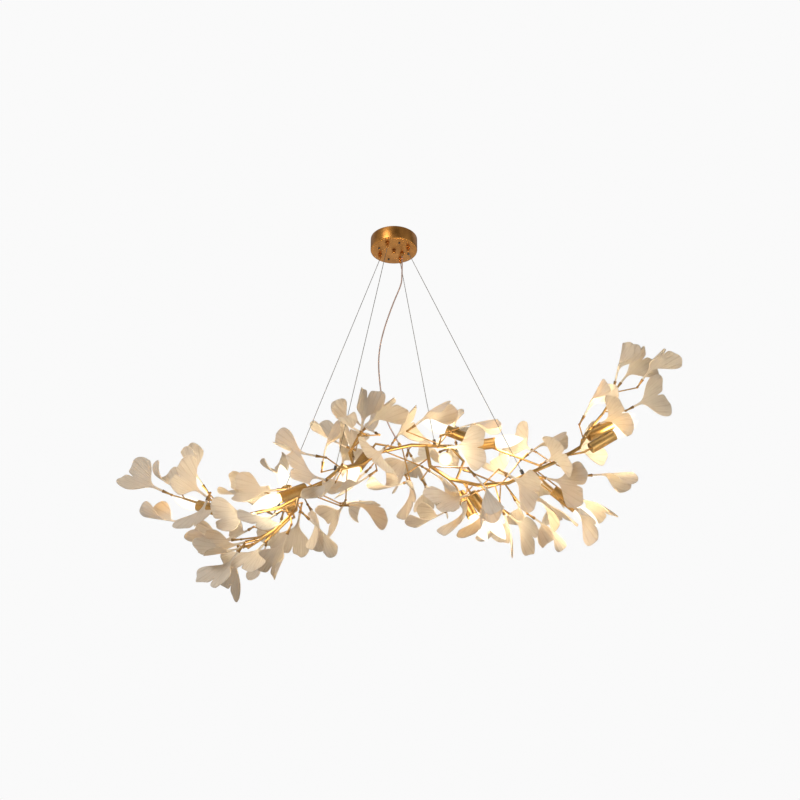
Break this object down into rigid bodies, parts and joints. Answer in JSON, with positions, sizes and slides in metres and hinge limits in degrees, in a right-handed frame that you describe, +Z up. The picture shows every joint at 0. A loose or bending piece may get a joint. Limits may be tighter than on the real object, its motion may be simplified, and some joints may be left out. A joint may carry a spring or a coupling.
{
  "type": "branch chandelier",
  "caption": "Long suspended branch of brazed brass rods carrying fan-shaped porcelain ginkgo leaves and candle lamps in brass sleeves, hung by thin wires from a round ceiling cup.",
  "frame": {"origin": "centre of the mounting plate's ceiling face, in the plane of the ceiling", "axes": "+Z up into the ceiling, +X to the viewer's right along the branch, -Y towards the viewer"},
  "size_m": [1.5308, 0.5119, 1.1209],
  "materials": {
    "brushed_brass": "satin brushed, slightly browned",
    "zinc_steel": "zinc plated",
    "dark_steel": "blackened",
    "wire_steel": "stranded steel wire",
    "terminal_plastic": "plain moulded",
    "holder_plastic": "heat-resistant moulded",
    "cord_jacket": "smooth translucent jacket",
    "bulb_glass": "frosted, lit from inside",
    "porcelain": "unglazed bisque porcelain, matte"
  },
  "bodies": {
    "canopy": {"canopy_cup": "brushed_brass", "mounting_plate": "zinc_steel", "cup_pillars": "zinc_steel", "cup_screws": "dark_steel", "terminal_block": "terminal_plastic", "gripper_barrels": "brushed_brass", "centre_knob": "brushed_brass", "cord_gland": "brushed_brass", "power_cord": "cord_jacket"},
    "fixture": {"stem_left": "brushed_brass", "stem_right": "brushed_brass", "side_branches": "brushed_brass", "lamp_arms": "brushed_brass", "lamp_sleeves": "brushed_brass", "lampholders": "holder_plastic", "wire_clasps": "dark_steel", "lower_gland": "brushed_brass", "leaves_far_left": "porcelain", "leaves_broom_upper": "porcelain", "leaves_broom_lower": "porcelain", "leaves_left_crown": "porcelain", "leaves_centre_crown": "porcelain", "leaves_centre_low": "porcelain", "leaves_middle_crown": "porcelain", "leaves_middle_low": "porcelain", "leaves_right_low": "porcelain", "leaves_right_end": "porcelain", "leaves_right_tip": "porcelain", "twigs_far_left": "brushed_brass", "twigs_broom_upper": "brushed_brass", "twigs_broom_lower": "brushed_brass", "twigs_left_crown": "brushed_brass", "twigs_centre_crown": "brushed_brass", "twigs_centre_low": "brushed_brass", "twigs_middle_crown": "brushed_brass", "twigs_middle_low": "brushed_brass", "twigs_right_low": "brushed_brass", "twigs_right_end": "brushed_brass", "twigs_right_tip": "brushed_brass"},
    "plunger_1": {"gripper_plunger_1": "brushed_brass"},
    "suspension_1": {"wire_1": "wire_steel"},
    "plunger_2": {"gripper_plunger_2": "brushed_brass"},
    "suspension_2": {"wire_2": "wire_steel"},
    "plunger_3": {"gripper_plunger_3": "brushed_brass"},
    "suspension_3": {"wire_3": "wire_steel"},
    "plunger_4": {"gripper_plunger_4": "brushed_brass"},
    "suspension_4": {"wire_4": "wire_steel"},
    "lamp_1": {"bulb_1": "bulb_glass"},
    "lamp_2": {"bulb_2": "bulb_glass"},
    "lamp_3": {"bulb_3": "bulb_glass"},
    "lamp_4": {"bulb_4": "bulb_glass"},
    "lamp_5": {"bulb_5": "bulb_glass"},
    "lamp_6": {"bulb_6": "bulb_glass"},
    "lamp_7": {"bulb_7": "bulb_glass"},
    "lamp_8": {"bulb_8": "bulb_glass"},
    "lamp_9": {"bulb_9": "bulb_glass"},
    "lamp_10": {"bulb_10": "bulb_glass"},
    "lamp_11": {"bulb_11": "bulb_glass"},
    "lamp_12": {"bulb_12": "bulb_glass"}
  },
  "joints": [
    {"name": "gripper_release_1", "type": "slide", "parent": "canopy", "child": "plunger_1", "axis": [0, 0, 1], "range_m": [0, 0.0025], "stiffness_N_per_m": 400, "springref_m": -0.002},
    {"name": "gripper_release_2", "type": "slide", "parent": "canopy", "child": "plunger_2", "axis": [0, 0, 1], "range_m": [0, 0.0025], "stiffness_N_per_m": 400, "springref_m": -0.002},
    {"name": "gripper_release_3", "type": "slide", "parent": "canopy", "child": "plunger_3", "axis": [0, 0, 1], "range_m": [0, 0.0025], "stiffness_N_per_m": 400, "springref_m": -0.002},
    {"name": "gripper_release_4", "type": "slide", "parent": "canopy", "child": "plunger_4", "axis": [0, 0, 1], "range_m": [0, 0.0025], "stiffness_N_per_m": 400, "springref_m": -0.002},
    {"name": "wire_sway_1", "type": "hinge", "parent": "canopy", "child": "suspension_1", "pos_m": [-0.04169, 0.01944, -0.0585], "axis": [1, 0, 0], "range_deg": [-3.9, 3.9]},
    {"name": "wire_sway_2", "type": "hinge", "parent": "canopy", "child": "suspension_2", "pos_m": [-0.01944, -0.04169, -0.0585], "axis": [1, 0, 0], "range_deg": [-4.3, 4.3]},
    {"name": "fixture_sway", "type": "hinge", "parent": "canopy", "child": "suspension_3", "pos_m": [0.01944, 0.04169, -0.0585], "axis": [1, 0, 0], "range_deg": [-5, 5], "deforming": ["power_cord"]},
    {"name": "wire_sway_4", "type": "hinge", "parent": "canopy", "child": "suspension_4", "pos_m": [0.04169, -0.01944, -0.0585], "axis": [1, 0, 0], "range_deg": [-4.3, 4.3]},
    {"name": "fixture_level", "type": "hinge", "parent": "suspension_3", "child": "fixture", "pos_m": [0.11239, 0.04169, -0.64121], "axis": [1, 0, 0], "range_deg": [-5, 5]},
    {"name": "bulb_1_unscrew", "type": "hinge", "parent": "fixture", "child": "lamp_1", "pos_m": [-0.45981, 0.062, -0.83691], "axis": [-0.9074, 0.2519, 0.3364], "range_deg": [0, 1080]},
    {"name": "bulb_2_unscrew", "type": "hinge", "parent": "fixture", "child": "lamp_2", "pos_m": [-0.22534, -0.064, -0.81909], "axis": [-0.8585, -0.2536, -0.4457], "range_deg": [0, 1080]},
    {"name": "bulb_3_unscrew", "type": "hinge", "parent": "fixture", "child": "lamp_3", "pos_m": [-0.27141, 0.074, -0.83028], "axis": [-0.2756, 0.1461, 0.9501], "range_deg": [0, 1080]},
    {"name": "bulb_4_unscrew", "type": "hinge", "parent": "fixture", "child": "lamp_4", "pos_m": [-0.05884, 0.035, -0.66438], "axis": [-0.5152, -0.1822, -0.8375], "range_deg": [0, 1080]},
    {"name": "bulb_5_unscrew", "type": "hinge", "parent": "fixture", "child": "lamp_5", "pos_m": [0.21785, 0.076, -0.61924], "axis": [-0.9069, 0.0575, 0.4175], "range_deg": [0, 1080]},
    {"name": "bulb_6_unscrew", "type": "hinge", "parent": "fixture", "child": "lamp_6", "pos_m": [0.14137, 0.048, -0.68956], "axis": [-0.041, -0.9176, -0.3955], "range_deg": [0, 1080]},
    {"name": "bulb_7_unscrew", "type": "hinge", "parent": "fixture", "child": "lamp_7", "pos_m": [0.20489, 0.045, -0.6533], "axis": [0.9761, -0.2086, 0.0612], "range_deg": [0, 1080]},
    {"name": "bulb_8_unscrew", "type": "hinge", "parent": "fixture", "child": "lamp_8", "pos_m": [0.17665, 0.034, -0.79263], "axis": [0.4538, 0, -0.8911], "range_deg": [0, 1080]},
    {"name": "bulb_9_unscrew", "type": "hinge", "parent": "fixture", "child": "lamp_9", "pos_m": [0.20458, -0.02, -0.81608], "axis": [0.5574, 0, -0.8303], "range_deg": [0, 1080]},
    {"name": "bulb_10_unscrew", "type": "hinge", "parent": "fixture", "child": "lamp_10", "pos_m": [0.42349, 0.004, -0.79714], "axis": [0.778, 0.1706, -0.6047], "range_deg": [0, 1080]},
    {"name": "bulb_11_unscrew", "type": "hinge", "parent": "fixture", "child": "lamp_11", "pos_m": [0.5297, 0.01, -0.63913], "axis": [0.8812, 0.0551, 0.4694], "range_deg": [0, 1080]},
    {"name": "bulb_12_unscrew", "type": "hinge", "parent": "fixture", "child": "lamp_12", "pos_m": [0.52548, -0.03, -0.69205], "axis": [0.8622, -0.0541, 0.5037], "range_deg": [0, 1080]}
  ],
  "couplings": [
    {"joint": "fixture_level", "follows": "fixture_sway", "ratio": -1},
    {"joint": "wire_sway_1", "follows": "fixture_sway", "ratio": 0.7558},
    {"joint": "wire_sway_2", "follows": "fixture_sway", "ratio": 0.8375},
    {"joint": "wire_sway_4", "follows": "fixture_sway", "ratio": 0.8356}
  ]
}
